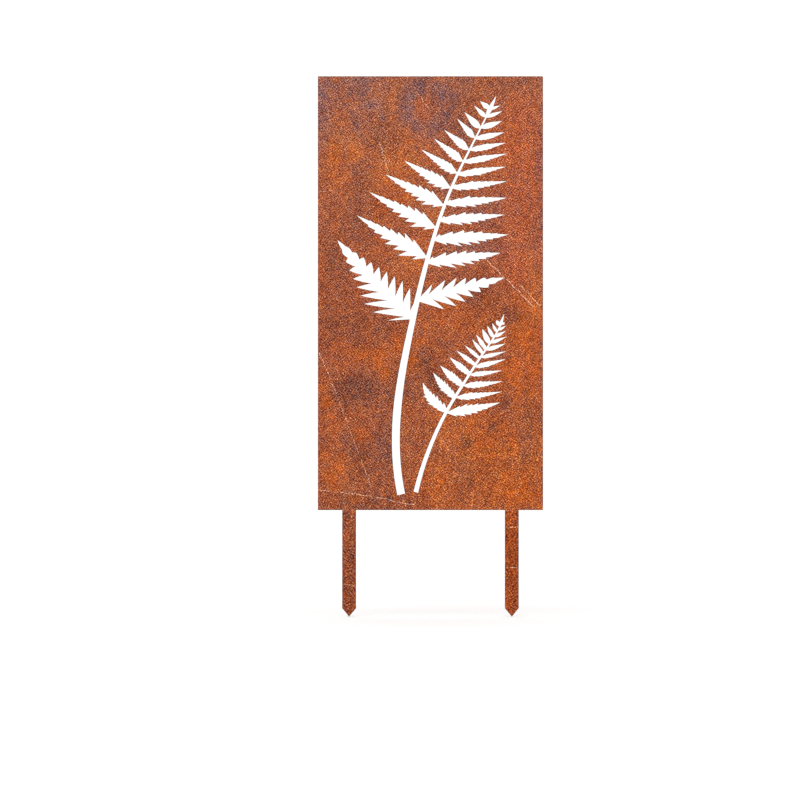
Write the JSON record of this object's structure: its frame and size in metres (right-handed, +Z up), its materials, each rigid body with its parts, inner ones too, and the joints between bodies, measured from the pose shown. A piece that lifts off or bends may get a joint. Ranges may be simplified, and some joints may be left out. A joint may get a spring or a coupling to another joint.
{
  "type": "garden screen",
  "caption": "Upright rusted steel sheet pierced with a tall and a small fern frond, standing on pointed stakes pushed into soil.",
  "frame": {"origin": "middle of the panel's lower edge, halfway through the sheet, on the line where the screen meets the soil", "axes": "+Z up along the panel's height, +X across to the right as seen from the front, -Y out of the front face"},
  "size_m": [0.15, 0.0021, 0.36],
  "materials": {
    "rusted_sheet": "matte",
    "rusted_stake": "matte",
    "weld_metal": "matte"
  },
  "bodies": {
    "root": {"fern_panel": "rusted_sheet", "left_stake": "rusted_stake", "right_stake": "rusted_stake", "left_root_weld": "weld_metal", "right_root_weld": "weld_metal"}
  },
  "joints": []
}
